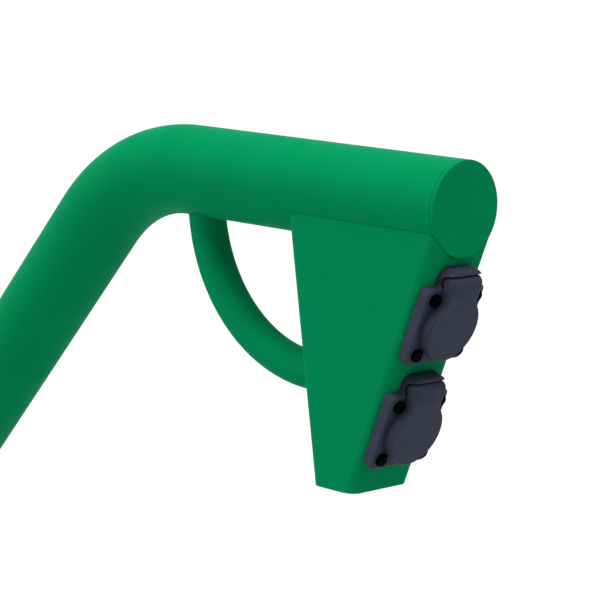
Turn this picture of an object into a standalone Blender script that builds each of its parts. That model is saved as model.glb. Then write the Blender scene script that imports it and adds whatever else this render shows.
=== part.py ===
"""Arm of a charging stand for electric bicycles.

A bent steel tube ends in a flat cap. A tapering sheet-metal box hangs under it, with two flap sockets on its sloping
front, and a thinner bent tube between the arm and the back of the box makes a loop for a lock.

Metres, +Z up. The origin is the centre of the leg's open lower end, +X runs along the arm towards the cap, and the
XZ plane halves everything but the hinge pins.
"""

import math

import bmesh
import bpy
from mathutils import Matrix, Vector

# Gap between pieces that touch.
GAP = 0.0003

# Main tube: leg, bend and arm, measured along the centre line.
TUBE_RADIUS = 0.03015
TUBE_WALL = 0.0029
LEG_LENGTH = 0.330
BEND_RADIUS = 0.125
BEND_ANGLE = math.radians(50)
ARM_LENGTH = 0.239

# End cap: a disc as wide as the tube, with a hollow spigot that fits inside.
CAP_THICKNESS = 0.003
CAP_EDGE = 0.0008
SPIGOT_LENGTH = 0.012
SPIGOT_WALL = 0.0025

# Socket box, folded from sheet. Its sloping planes are placed where they cross the height of the arm's centre line,
# measured from the outside of the cap.
SHEET = 0.003
BOX_WIDTH = 0.054
BOX_CORNER = 0.008
BOX_HEIGHT = 0.1855
FRONT_OFFSET = 0.0079
FRONT_LEAN = math.radians(20)
REAR_OFFSET = 0.130
REAR_LEAN = math.radians(10.4)

# Lock loop: a quarter turn of thinner tube from the arm's underside to the back of the box.
LOOP_RADIUS = 0.0125
LOOP_WALL = 0.002
LOOP_BEND_RADIUS = 0.106
LOOP_REACH = 0.227
LOOP_DROP = 0.013

# Wiring hole in the arm's underside, inside the box, with its grommet.
WIRING_REACH = 0.062
WIRING_HOLE_RADIUS = 0.008
GROMMET_BORE = 0.0052
GROMMET_RADIUS = 0.0100
GROMMET_LIP = 0.0015
GROMMET_CHAMFER = 0.0008

# Flap sockets. Distances down the sloping front are measured from the height of the arm's centre line. In a socket's
# own frame X is its width, Y runs up the slope and Z stands out from it.
UPPER_SOCKET_DROP = 0.0754
SOCKET_PITCH = 0.0745
GASKET_THICKNESS = 0.0007
GASKET_INSET = 0.0008
FLANGE_SIZE = 0.052
FLANGE_THICKNESS = 0.0037
FLANGE_CORNER = 0.004
FLANGE_EDGE = 0.0009
TONGUE_WIDTH = 0.032
TONGUE_LENGTH = 0.0124
TONGUE_CORNER = 0.005
TONGUE_FILLET = 0.0015

# Flange screws.
SCREW_PITCH = 0.038
SCREW_RADIUS = 0.0019
SCREW_LENGTH = 0.012
SCREW_HEAD_RADIUS = 0.0040
SCREW_HEAD_HEIGHT = 0.0029
SCREW_DOME = 0.0015

# Recess for the plug, its collar and the cup behind the flange.
RECESS_RADIUS = 0.0195
RECESS_DEPTH = 0.0177
COLLAR_WALL = 0.001
COLLAR_HEIGHT = 0.0034
CUP_RADIUS = 0.022
CUP_FLOOR = 0.002
CUP_MOUTH_RADIUS = 0.0142
GUIDE_WIDTH = 0.0048
GUIDE_DEPTH = 0.0016
GUIDE_SETBACK = 0.0017

# Contact carrier, contacts and earth strip.
CARRIER_THICKNESS = 0.0172
CONTACT_PITCH = 0.019
PIN_HOLE_RADIUS = 0.0027
PIN_HOLE_DEPTH = 0.003
SLEEVE_BORE = 0.0024
SLEEVE_WALL = 0.0008
SLEEVE_ROOT = 0.001
TERMINAL_SIZE = 0.0068
TERMINAL_LENGTH = 0.008
STRIP_WIDTH = 0.006
STRIP_THICKNESS = 0.0008
STRIP_REACH = 0.0185
FINGER_HEIGHT = 0.012
FINGER_BOW = 0.0028

# Lid: a disc with a hood that runs back over the hinge. Its barrel turns in a trough across the tongue.
LID_RADIUS = 0.0225
LID_WALL = 0.0014
LID_ROOF = 0.0018
LID_EDGE = 0.0035
HOOD_WIDTH = 0.0292
HOOD_FILLET = 0.0025
HINGE_REACH = 0.0302
HINGE_HEIGHT = 0.0083
BARREL_RADIUS = 0.0058
KNUCKLE_WIDTH = 0.0046
LUG_WIDTH = 0.008
LUG_RADIUS = 0.0036
LUG_NECK = 0.0036
LUG_ROOT = 0.0004
LUG_CLEARANCE = 0.0004
LUG_SLOT_ANGLE = math.radians(140)
LEG_SLOT_ANGLE = math.radians(80)
PIN_RADIUS = 0.00125
SEAL_WIDTH = 0.002

# Lid spring: one wire with a coil on each side of the hinge lug and a bridge that presses on the lid.
WIRE_RADIUS = 0.00045
COIL_RADIUS = 0.0022
COIL_TURNS = 2
COIL_PITCH = 0.0013
SPRING_LEG = 0.007

# Steps of a full turn on large, middle and small round forms, and of a rounded edge or corner.
LARGE_SIDES = 36
ROUND_SIDES = 36
LOOP_SIDES = 18
SMALL_SIDES = 12
COIL_SIDES = 8
WIRE_SIDES = 6
BEND_STEPS = 10
LOOP_STEPS = 12
CORNER_STEPS = 5
EDGE_STEPS = 3
FILLET_STEPS = 3

# How far a cutter runs past what it cuts.
OVERRUN = 0.006

# Heights over the sloping front, and radii that follow from the sizes above.
FLANGE_BACK = GASKET_THICKNESS + 2 * GAP
FLANGE_TOP = FLANGE_BACK + FLANGE_THICKNESS
COLLAR_TOP = FLANGE_TOP + COLLAR_HEIGHT
RECESS_FLOOR = COLLAR_TOP - RECESS_DEPTH
CARRIER_BACK = RECESS_FLOOR - CARRIER_THICKNESS
STRIP_BACK = CARRIER_BACK - GAP - STRIP_THICKNESS
CUP_FLOOR_TOP = STRIP_BACK - GAP
CUP_BACK = CUP_FLOOR_TOP - CUP_FLOOR
TONGUE_END = FLANGE_SIZE / 2 + TONGUE_LENGTH
LID_BASE = FLANGE_TOP + GAP
LID_TOP = HINGE_HEIGHT + BARREL_RADIUS
LID_CEILING = LID_TOP - LID_ROOF
LID_BORE = LID_RADIUS - LID_WALL
HOOD_SIDE = HOOD_WIDTH / 2
KNUCKLE_START = HOOD_SIDE - KNUCKLE_WIDTH
PIN_BORE = PIN_RADIUS + GAP
SCREW_HOLE = SCREW_RADIUS + GAP
SLEEVE_RADIUS = SLEEVE_BORE + SLEEVE_WALL

# The centre of the cap's outer face, where the arm ends.
CAP_X = LEG_LENGTH * math.cos(BEND_ANGLE) + BEND_RADIUS * math.sin(BEND_ANGLE) + ARM_LENGTH
AXIS_Z = LEG_LENGTH * math.sin(BEND_ANGLE) + BEND_RADIUS * (1 - math.cos(BEND_ANGLE))

# Turns that lay an upright solid of revolution along X, and an outline drawn in Y and Z across it.
ALONG_X = (0, math.pi / 2, 0)
ACROSS_X = (math.pi / 2, 0, math.pi / 2)
HINGE_LINE = (0, HINGE_REACH, HINGE_HEIGHT)

# Colour, roughness and metallic value of each material.
GREEN_PAINT = ((0.0, 0.224, 0.083), 0.45, 0.0)
COVER_PLASTIC = ((0.037, 0.041, 0.067), 0.5, 0.0)
CARRIER_PLASTIC = ((0.08, 0.085, 0.09), 0.5, 0.0)
BLACK_STEEL = ((0.004, 0.004, 0.004), 0.4, 0.0)
RUBBER = ((0.012, 0.012, 0.013), 0.8, 0.0)
BRASS = ((0.72, 0.51, 0.2), 0.3, 1.0)
BRIGHT_STEEL = ((0.55, 0.55, 0.56), 0.3, 1.0)


def new_collection(name):
    collection = bpy.data.collections.new(name)
    bpy.context.scene.collection.children.link(collection)
    return collection


def new_material(name, color, roughness, metallic):
    material = bpy.data.materials.new(name)
    material.use_nodes = True
    shader = material.node_tree.nodes["Principled BSDF"]
    shader.inputs["Base Color"].default_value = (*color, 1)
    shader.inputs["Roughness"].default_value = roughness
    shader.inputs["Metallic"].default_value = metallic
    return material


def new_object(name, data, parent, location, rotation):
    obj = bpy.data.objects.new(name, data)
    obj.parent = parent
    obj.location = location
    obj.rotation_euler = rotation
    return obj


def new_empty(name, parent, location, rotation=(0, 0, 0)):
    empty = new_object(name, None, parent, location, rotation)
    PARTS.objects.link(empty)
    return empty


def add_piece(name, data, finish, parent, location=(0, 0, 0), rotation=(0, 0, 0)):
    """A visible piece: one named object with its own material."""
    data.name = name
    data.materials.append(new_material(name, *finish))
    piece = new_object(name, data, parent, location, rotation)
    PARTS.objects.link(piece)
    return piece


def add_tool(name, data, parent, location=(0, 0, 0), rotation=(0, 0, 0)):
    """A hidden solid that cuts a piece or is joined to it."""
    data.name = name
    tool = new_object(name, data, parent, location, rotation)
    tool.hide_render = True
    tool.display_type = "WIRE"
    TOOLS.objects.link(tool)
    return tool


def combine(piece, operation, tools):
    for tool in tools:
        modifier = piece.modifiers.new(tool.name, "BOOLEAN")
        modifier.operation = operation
        modifier.object = tool
        modifier.solver = "EXACT"


def cut(piece, *tools):
    combine(piece, "DIFFERENCE", tools)


def join(piece, *tools):
    combine(piece, "UNION", tools)


def wall_inwards(piece, thickness):
    """Turns an open skin into a wall that grows inwards from it."""
    modifier = piece.modifiers.new("wall", "SOLIDIFY")
    modifier.thickness = thickness
    modifier.offset = -1
    modifier.use_even_offset = True


def turn(piece, sides):
    """Spins a piece's profile about its own Z axis."""
    modifier = piece.modifiers.new("turn", "SCREW")
    modifier.steps = sides
    modifier.render_steps = sides
    modifier.use_merge_vertices = True
    modifier.merge_threshold = 0.000001
    return piece


def finished(shape, smooth=True):
    """The mesh of a bmesh, with round surfaces smooth and clear edges sharp."""
    bmesh.ops.recalc_face_normals(shape, faces=shape.faces)
    mesh = bpy.data.meshes.new("mesh")
    shape.to_mesh(mesh)
    shape.free()
    if smooth:
        mesh.shade_smooth()
        mesh.set_sharp_from_angle(angle=math.radians(35))
    return mesh


def block(low, high):
    low = Vector(low)
    high = Vector(high)
    size = Matrix.Diagonal((*(high - low), 1))
    shape = bmesh.new()
    bmesh.ops.create_cube(shape, size=1, matrix=Matrix.Translation((low + high) / 2) @ size)
    return finished(shape, smooth=False)


def cylinder(radius, low, high, sides, edge=0):
    """An upright cylinder between two heights, with the rims rounded where an edge radius is given."""
    shape = bmesh.new()
    bmesh.ops.create_cone(
        shape,
        cap_ends=True,
        segments=sides,
        radius1=radius,
        radius2=radius,
        depth=high - low,
        matrix=Matrix.Translation((0, 0, (low + high) / 2)),
    )
    if edge:
        rims = [rim for rim in shape.edges if rim.verts[0].co.z == rim.verts[1].co.z]
        bmesh.ops.bevel(shape, geom=rims, offset=edge, segments=EDGE_STEPS, profile=0.5, affect="EDGES")
    return finished(shape)


def profile(points):
    """A profile of (radius, height) points, down the outer side. Off the axis at both ends, it is closed to a ring."""
    shape = bmesh.new()
    verts = [shape.verts.new((radius, 0, height)) for radius, height in points]
    for pair in zip(verts, verts[1:]):
        shape.edges.new(pair)
    if points[0][0] > 0:
        shape.edges.new((verts[-1], verts[0]))
    mesh = bpy.data.meshes.new("profile")
    shape.to_mesh(mesh)
    shape.free()
    return mesh


def welded(curve):
    """A curve's evaluated surface as a bmesh, with its caps welded on."""
    guide = bpy.data.objects.new("guide", curve)
    PARTS.objects.link(guide)
    bpy.context.view_layer.update()
    mesh = bpy.data.meshes.new_from_object(guide.evaluated_get(bpy.context.evaluated_depsgraph_get()))
    bpy.data.objects.remove(guide)
    shape = bmesh.new()
    shape.from_mesh(mesh)
    bmesh.ops.remove_doubles(shape, verts=shape.verts, dist=GAP / 100)
    return shape


def rod(points, radius, sides, capped=True):
    """A round bar along a line of points. Without caps it is a pipe's outer skin."""
    curve = bpy.data.curves.new("line", "CURVE")
    curve.dimensions = "3D"
    curve.bevel_depth = radius
    curve.bevel_resolution = sides // 2 - 2
    curve.use_fill_caps = capped
    spline = curve.splines.new("POLY")
    spline.points.add(len(points) - 1)
    for target, point in zip(spline.points, points):
        target.co = (*point, 1)
    return curve


def slab(outline, low, high):
    """A flat outline with a thickness, between two heights."""
    curve = bpy.data.curves.new("outline", "CURVE")
    curve.dimensions = "2D"
    curve.fill_mode = "BOTH"
    curve.extrude = (high - low) / 2
    spline = curve.splines.new("POLY")
    spline.use_cyclic_u = True
    spline.points.add(len(outline) - 1)
    for target, (x, y) in zip(spline.points, outline):
        target.co = (x, y, 0, 1)
    shape = welded(curve)
    bmesh.ops.translate(shape, verts=shape.verts, vec=(0, 0, (low + high) / 2))
    bmesh.ops.dissolve_limit(shape, angle_limit=math.radians(1), verts=shape.verts, edges=shape.edges)
    return shape


def round_top(shape, radius, steps, end=math.inf):
    """Rounds the upper rim of a slab, but for a straight edge that lies at the end of its Y range."""
    top = max(vert.co.z for vert in shape.verts)
    rim = [
        edge
        for edge in shape.edges
        if all(vert.co.z > top - GAP for vert in edge.verts) and any(vert.co.y < end - GAP for vert in edge.verts)
    ]
    bmesh.ops.bevel(shape, geom=rim, offset=radius, segments=steps, profile=0.5, affect="EDGES")
    return shape


def arc(centre, radius, start, end, steps):
    """Points on a circle from one angle to another, both ends included."""
    angles = [start + (end - start) * step / steps for step in range(steps + 1)]
    return [(centre[0] + radius * math.cos(angle), centre[1] + radius * math.sin(angle)) for angle in angles]


def filleted(corners, steps):
    """The outline of a polygon given as (x, y, radius), counter-clockwise, with every corner rounded."""
    outline = []
    for index, (x, y, radius) in enumerate(corners):
        corner = Vector((x, y))
        to_last = (Vector(corners[index - 1][:2]) - corner).normalized()
        to_next = (Vector(corners[(index + 1) % len(corners)][:2]) - corner).normalized()
        half = to_last.angle(to_next) / 2
        centre = corner + (to_last + to_next).normalized() * radius / math.sin(half)
        first = corner + to_last * radius / math.tan(half) - centre
        side = math.copysign(1, -to_last.cross(to_next))
        start = math.atan2(first.y, first.x)
        outline += arc(centre, radius, start, start + side * (math.pi - 2 * half), steps)
    return outline


def upright_bend(centre, radius, start, end, steps):
    """Points of a bend in the XZ plane."""
    return [(x, 0, z) for x, z in arc(centre, radius, start, end, steps)]


def front_x(z, inset):
    """Where the box's sloping front lies at a height, moved inwards by the inset."""
    return FRONT_OFFSET + z * math.tan(FRONT_LEAN) - inset / math.cos(FRONT_LEAN)


def rear_x(z, inset):
    """Where the box's sloping back lies at a height, moved inwards by the inset."""
    return -REAR_OFFSET - z * math.tan(REAR_LEAN) + inset / math.cos(REAR_LEAN)


def tapering_form(inset, low, high, closed):
    """The box's outer form between two heights, moved inwards by the inset, with its upright edges rounded."""
    shape = bmesh.new()
    bmesh.ops.create_cube(shape, size=2)
    for vert in shape.verts:
        z = high if vert.co.z > 0 else low
        x = front_x(z, inset) if vert.co.x > 0 else rear_x(z, inset)
        vert.co = (x, vert.co.y * (BOX_WIDTH / 2 - inset), z)
    shape.normal_update()
    ends = [face for face in shape.faces if abs(face.normal.z) > math.cos(REAR_LEAN)]
    uprights = [edge for edge in shape.edges if not any(edge in face.edges for face in ends)]
    if not closed:
        bmesh.ops.delete(shape, geom=ends, context="FACES_ONLY")
    bmesh.ops.bevel(
        shape,
        geom=uprights,
        offset=BOX_CORNER - inset,
        segments=CORNER_STEPS,
        profile=0.5,
        affect="EDGES",
    )
    return finished(shape)


def make_arm():
    centre = (CAP_X - ARM_LENGTH, AXIS_Z - BEND_RADIUS)
    bend = upright_bend(centre, BEND_RADIUS, math.pi / 2 + BEND_ANGLE, math.pi / 2, BEND_STEPS)
    line = [(0, 0, 0), *bend, (CAP_X - CAP_THICKNESS - GAP, 0, AXIS_Z)]
    skin = finished(welded(rod(line, TUBE_RADIUS, LARGE_SIDES, capped=False)))
    tube = add_piece("arm_tube", skin, GREEN_PAINT, None)
    wall_inwards(tube, TUBE_WALL)
    hole = cylinder(WIRING_HOLE_RADIUS, -TUBE_RADIUS - OVERRUN, 0, LOOP_SIDES)
    cut(tube, add_tool("wiring_hole", hole, HEAD, (-WIRING_REACH, 0, 0)))


def make_cap():
    spigot = TUBE_RADIUS - TUBE_WALL - GAP
    points = [
        (0, 0),
        (TUBE_RADIUS - CAP_EDGE, 0),
        (TUBE_RADIUS, -CAP_EDGE),
        (TUBE_RADIUS, -CAP_THICKNESS),
        (spigot, -CAP_THICKNESS),
        (spigot, -CAP_THICKNESS - SPIGOT_LENGTH),
        (spigot - SPIGOT_WALL, -CAP_THICKNESS - SPIGOT_LENGTH),
        (spigot - SPIGOT_WALL, -CAP_THICKNESS),
        (0, -CAP_THICKNESS),
    ]
    turn(add_piece("end_cap", profile(points), GREEN_PAINT, HEAD, rotation=ALONG_X), LARGE_SIDES)


def make_box(saddle):
    """The box is open at the top, where it is coped to the tube, and a loose plate closes it underneath."""
    skin = tapering_form(0, -BOX_HEIGHT - OVERRUN, 0, closed=False)
    shell = add_piece("socket_box", skin, GREEN_PAINT, HEAD)
    wall_inwards(shell, SHEET)
    below = block((-REAR_OFFSET, -BOX_WIDTH, -BOX_HEIGHT - 2 * OVERRUN), (0, BOX_WIDTH, -BOX_HEIGHT))
    cut(shell, saddle, add_tool("box_trim", below, HEAD))
    floor = tapering_form(SHEET + GAP, -BOX_HEIGHT, -BOX_HEIGHT + SHEET, closed=True)
    add_piece("box_floor", floor, GREEN_PAINT, HEAD)
    return shell


def make_loop(saddle):
    centre = (LOOP_BEND_RADIUS - LOOP_REACH, -LOOP_DROP)
    bend = upright_bend(centre, LOOP_BEND_RADIUS, math.pi, math.pi * 3 / 2, LOOP_STEPS)
    line = [(-LOOP_REACH, 0, 0), *bend, (0, 0, -LOOP_DROP - LOOP_BEND_RADIUS)]
    skin = finished(welded(rod(line, LOOP_RADIUS, LOOP_SIDES, capped=False)))
    loop = add_piece("lock_loop", skin, GREEN_PAINT, HEAD)
    wall_inwards(loop, LOOP_WALL)
    trim = bmesh.new()
    bmesh.ops.create_cube(trim, size=2)
    for vert in trim.verts:
        z = 0 if vert.co.z > 0 else -BOX_HEIGHT
        x = OVERRUN if vert.co.x > 0 else rear_x(z, -GAP)
        vert.co = (x, vert.co.y * BOX_WIDTH / 2, z)
    cut(loop, saddle, add_tool("loop_trim", finished(trim, smooth=False), HEAD))


def make_grommet():
    """Its groove is as deep as the tube's wall is high where the hole runs through the curve."""
    bore_radius = TUBE_RADIUS - TUBE_WALL
    inner_lip = GAP - math.sqrt(bore_radius**2 - GROMMET_RADIUS**2)
    outer_lip = -TUBE_RADIUS - GAP
    neck = WIRING_HOLE_RADIUS - GAP
    points = [
        (GROMMET_BORE, inner_lip + GROMMET_LIP),
        (GROMMET_RADIUS - GROMMET_CHAMFER, inner_lip + GROMMET_LIP),
        (GROMMET_RADIUS, inner_lip + GROMMET_LIP - GROMMET_CHAMFER),
        (GROMMET_RADIUS, inner_lip),
        (neck, inner_lip),
        (neck, outer_lip),
        (GROMMET_RADIUS, outer_lip),
        (GROMMET_RADIUS, outer_lip - GROMMET_LIP + GROMMET_CHAMFER),
        (GROMMET_RADIUS - GROMMET_CHAMFER, outer_lip - GROMMET_LIP),
        (GROMMET_BORE, outer_lip - GROMMET_LIP),
    ]
    turn(add_piece("cable_grommet", profile(points), RUBBER, HEAD, (-WIRING_REACH, 0, 0)), LOOP_SIDES)


def flange_outline(inset):
    """A rounded square with a hinge tongue on its upper edge, moved inwards by the inset."""
    half = FLANGE_SIZE / 2 - inset
    side = TONGUE_WIDTH / 2 - inset
    end = TONGUE_END - inset
    corner = FLANGE_CORNER - inset
    root = TONGUE_FILLET + inset
    tip = TONGUE_CORNER - inset
    corners = [
        (half, -half, corner),
        (half, half, corner),
        (side, half, root),
        (side, end, tip),
        (-side, end, tip),
        (-side, half, root),
        (-half, half, corner),
        (-half, -half, corner),
    ]
    return filleted(corners, FILLET_STEPS)


def make_screws(name, frame):
    """The four flange screws, and the tools for the holes that they run through."""
    base = FLANGE_TOP + GAP
    points = [
        (0, base + SCREW_HEAD_HEIGHT),
        (SCREW_HEAD_RADIUS - SCREW_DOME, base + SCREW_HEAD_HEIGHT),
        (SCREW_HEAD_RADIUS, base + SCREW_HEAD_HEIGHT - SCREW_DOME),
        (SCREW_HEAD_RADIUS, base),
        (SCREW_RADIUS, base),
        (SCREW_RADIUS, base - SCREW_LENGTH),
        (0, base - SCREW_LENGTH),
    ]
    reach = SCREW_PITCH / 2
    places = [(x, y, 0) for y in (reach, -reach) for x in (-reach, reach)]
    holes = []
    for number, place in enumerate(places, start=1):
        screw = add_piece(f"{name}_flange_screw_{number}", profile(points), BLACK_STEEL, frame, place)
        turn(screw, SMALL_SIDES)
        hole = cylinder(SCREW_HOLE, -SHEET - OVERRUN, FLANGE_TOP + OVERRUN, SMALL_SIDES)
        holes.append(add_tool(f"{name}_screw_hole_{number}", hole, frame, place))
    return holes


def make_gasket(name, frame, holes):
    sheet = finished(slab(flange_outline(GASKET_INSET), GAP, GAP + GASKET_THICKNESS))
    cut(add_piece(f"{name}_gasket", sheet, RUBBER, frame), *holes)


def make_housing(name, frame, screw_holes):
    """Flange, hinge tongue, collar and cup in one moulding, with a guide rib on each side of the recess."""
    flange = finished(round_top(slab(flange_outline(0), FLANGE_BACK, FLANGE_TOP), FLANGE_EDGE, 2))
    housing = add_piece(f"{name}_housing", flange, COVER_PLASTIC, frame)

    shoulder = FLANGE_TOP - FLANGE_THICKNESS / 2
    cup_points = [
        (0, COLLAR_TOP),
        (RECESS_RADIUS + COLLAR_WALL, COLLAR_TOP),
        (RECESS_RADIUS + COLLAR_WALL, shoulder),
        (CUP_RADIUS, shoulder),
        (CUP_RADIUS, CUP_BACK),
        (0, CUP_BACK),
    ]
    recess_points = [
        (0, COLLAR_TOP + OVERRUN),
        (RECESS_RADIUS, COLLAR_TOP + OVERRUN),
        (RECESS_RADIUS, CUP_FLOOR_TOP),
        (CUP_MOUTH_RADIUS, CUP_FLOOR_TOP),
        (CUP_MOUTH_RADIUS, CUP_BACK - OVERRUN),
        (0, CUP_BACK - OVERRUN),
    ]
    cup = turn(add_tool(f"{name}_cup", profile(cup_points), frame), ROUND_SIDES)
    recess = turn(add_tool(f"{name}_recess", profile(recess_points), frame), ROUND_SIDES)
    trough = cylinder(BARREL_RADIUS + GAP, -TONGUE_WIDTH, TONGUE_WIDTH, ROUND_SIDES)
    join(housing, cup)
    cut(housing, recess, add_tool(f"{name}_trough", trough, frame, HINGE_LINE, ALONG_X), *screw_holes)

    neck_angle = math.asin(LUG_NECK / 2 / LUG_RADIUS)
    foot = HINGE_HEIGHT - BARREL_RADIUS - GAP - LUG_ROOT
    eye = arc(HINGE_LINE[1:], LUG_RADIUS, neck_angle - math.pi / 2, math.pi * 3 / 2 - neck_angle, SMALL_SIDES)
    lug_outline = [(HINGE_REACH - LUG_NECK / 2, foot), (HINGE_REACH + LUG_NECK / 2, foot), *eye]
    lug = finished(slab(lug_outline, -LUG_WIDTH / 2, LUG_WIDTH / 2))
    bore = cylinder(PIN_BORE, -LUG_WIDTH, LUG_WIDTH, SMALL_SIDES)
    join(housing, add_tool(f"{name}_lug", lug, frame, rotation=ACROSS_X))
    cut(housing, add_tool(f"{name}_lug_bore", bore, frame, HINGE_LINE, ALONG_X))

    low = (RECESS_RADIUS - GUIDE_DEPTH, -GUIDE_WIDTH / 2, RECESS_FLOOR + GAP)
    high = (RECESS_RADIUS + COLLAR_WALL / 2, GUIDE_WIDTH / 2, COLLAR_TOP - GUIDE_SETBACK)
    for side, angle in (("right", 0), ("left", math.pi)):
        guide = add_tool(f"{name}_guide_{side}", block(low, high), frame, rotation=(0, 0, angle))
        join(housing, guide)


def make_carrier(name, frame):
    """The floor of the recess, with two holes for the plug's pins and a slot on each side for the earth strip."""
    disc = cylinder(RECESS_RADIUS - GAP, CARRIER_BACK, RECESS_FLOOR, ROUND_SIDES)
    carrier = add_piece(f"{name}_insert", disc, CARRIER_PLASTIC, frame)
    step = RECESS_FLOOR - PIN_HOLE_DEPTH
    hole_points = [
        (0, RECESS_FLOOR + OVERRUN),
        (PIN_HOLE_RADIUS, RECESS_FLOOR + OVERRUN),
        (PIN_HOLE_RADIUS, step),
        (SLEEVE_RADIUS + GAP, step),
        (SLEEVE_RADIUS + GAP, CARRIER_BACK - OVERRUN),
        (0, CARRIER_BACK - OVERRUN),
    ]
    slot_side = STRIP_WIDTH / 2 + GAP
    slot_floor = STRIP_REACH - STRIP_THICKNESS / 2 - GAP
    low = (-slot_side, slot_floor, CARRIER_BACK - OVERRUN)
    high = (slot_side, RECESS_RADIUS + OVERRUN, RECESS_FLOOR + OVERRUN)
    for side, angle in ((1, 0), (-1, math.pi)):
        place = (side * CONTACT_PITCH / 2, 0, 0)
        hole = turn(add_tool(f"{name}_pin_hole_{side}", profile(hole_points), frame, place), SMALL_SIDES)
        slot = add_tool(f"{name}_strip_slot_{side}", block(low, high), frame, rotation=(0, 0, angle))
        cut(carrier, hole, slot)


def make_contacts(name, frame):
    """Each contact is a sleeve for one of the plug's pins, with a terminal block behind the carrier."""
    top = RECESS_FLOOR - PIN_HOLE_DEPTH - GAP
    terminal_top = CARRIER_BACK - GAP
    points = [
        (SLEEVE_BORE, top),
        (SLEEVE_RADIUS, top),
        (SLEEVE_RADIUS, terminal_top - SLEEVE_ROOT),
        (SLEEVE_BORE, terminal_top - SLEEVE_ROOT),
    ]
    half = TERMINAL_SIZE / 2
    for side, label in ((-1, "left"), (1, "right")):
        place = (side * CONTACT_PITCH / 2, 0, 0)
        contact = turn(add_piece(f"{name}_contact_{label}", profile(points), BRASS, frame, place), SMALL_SIDES)
        terminal = block((-half, -half, terminal_top - TERMINAL_LENGTH), (half, half, terminal_top))
        join(contact, add_tool(f"{name}_terminal_{label}", terminal, frame, place))


def make_earth_strip(name, frame):
    """A U of sprung strip: it crosses behind the carrier, and a bowed finger stands on each side of the recess."""
    base = STRIP_BACK + STRIP_THICKNESS / 2
    finger = [
        (STRIP_REACH, base),
        (STRIP_REACH, RECESS_FLOOR),
        (STRIP_REACH - FINGER_BOW / 2, RECESS_FLOOR + FINGER_HEIGHT / 3),
        (STRIP_REACH - FINGER_BOW, RECESS_FLOOR + FINGER_HEIGHT * 2 / 3),
        (STRIP_REACH - FINGER_BOW / 3, RECESS_FLOOR + FINGER_HEIGHT),
    ]
    path = [(-y, z) for y, z in reversed(finger)] + finger
    shape = bmesh.new()
    verts = [shape.verts.new((-STRIP_WIDTH / 2, y, z)) for y, z in path]
    edges = [shape.edges.new(pair) for pair in zip(verts, verts[1:])]
    grown = bmesh.ops.extrude_edge_only(shape, edges=edges)
    moved = [item for item in grown["geom"] if isinstance(item, bmesh.types.BMVert)]
    bmesh.ops.translate(shape, verts=moved, vec=(STRIP_WIDTH, 0, 0))
    strip = add_piece(f"{name}_earth_strip", finished(shape), BRASS, frame)
    modifier = strip.modifiers.new("thickness", "SOLIDIFY")
    modifier.thickness = STRIP_THICKNESS
    modifier.offset = 0
    modifier.use_even_offset = True


def make_pin(name, frame):
    pin = cylinder(PIN_RADIUS, LID_WALL + GAP - HOOD_SIDE, HOOD_SIDE - GAP, SMALL_SIDES)
    add_piece(f"{name}_hinge_pin", pin, BRIGHT_STEEL, frame, HINGE_LINE, ALONG_X)


def make_spring(name, frame):
    """Each end of the wire rests on the flange, and the bridge between the two coils lies under the lid's roof."""
    foot = Vector((0, -SPRING_LEG, FLANGE_TOP + GAP + WIRE_RADIUS - HINGE_HEIGHT))
    bridge = Vector((0, -SPRING_LEG, LID_CEILING - GAP - WIRE_RADIUS - HINGE_HEIGHT))
    coil_width = (COIL_TURNS + 0.5) * COIL_PITCH
    outer = (LUG_WIDTH / 2 + KNUCKLE_START + coil_width) / 2
    steps = COIL_TURNS * COIL_SIDES + COIL_SIDES // 2
    half = [foot + Vector((outer, 0, 0))]
    for step in range(steps + 1):
        angle = 2 * math.pi * step / COIL_SIDES
        reach = Vector((0, math.sin(angle), -math.cos(angle))) * COIL_RADIUS
        half.append(reach + Vector((outer - COIL_PITCH * step / COIL_SIDES, 0, 0)))
    half.append(bridge + Vector((outer - coil_width, 0, 0)))
    mirrored = [Vector((-x, y, z)) for x, y, z in reversed(half)]
    wire = rod(half + mirrored, WIRE_RADIUS, WIRE_SIDES)
    add_piece(f"{name}_lid_spring", wire, BRIGHT_STEEL, frame, HINGE_LINE)


def lid_outline():
    """The disc and the hood in plan, up to the hinge line, with a fillet where they meet."""
    across = HOOD_SIDE + HOOD_FILLET
    height = math.sqrt((LID_RADIUS + HOOD_FILLET) ** 2 - across**2)
    meeting = math.atan2(height, across)
    disc = arc((0, 0), LID_RADIUS, -math.pi - meeting, meeting, ROUND_SIDES * 3 // 4)
    right = arc((across, height), HOOD_FILLET, math.pi + meeting, math.pi, FILLET_STEPS)
    left = arc((-across, height), HOOD_FILLET, 0, -meeting, FILLET_STEPS)
    return [*disc, *right[1:], (HOOD_SIDE, HINGE_REACH), (-HOOD_SIDE, HINGE_REACH), *left[:-1]]


def barrel_slot(width, angle):
    """A wedge that opens the barrel's wall from straight below the hinge round its back, as the lid swings past."""
    reach = 2 * BARREL_RADIUS
    outline = [(-LUG_CLEARANCE, 0), (-LUG_CLEARANCE, -reach), (reach, -reach), (reach, -reach / math.tan(angle))]
    return finished(slab(outline, -width / 2, width / 2))


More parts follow.
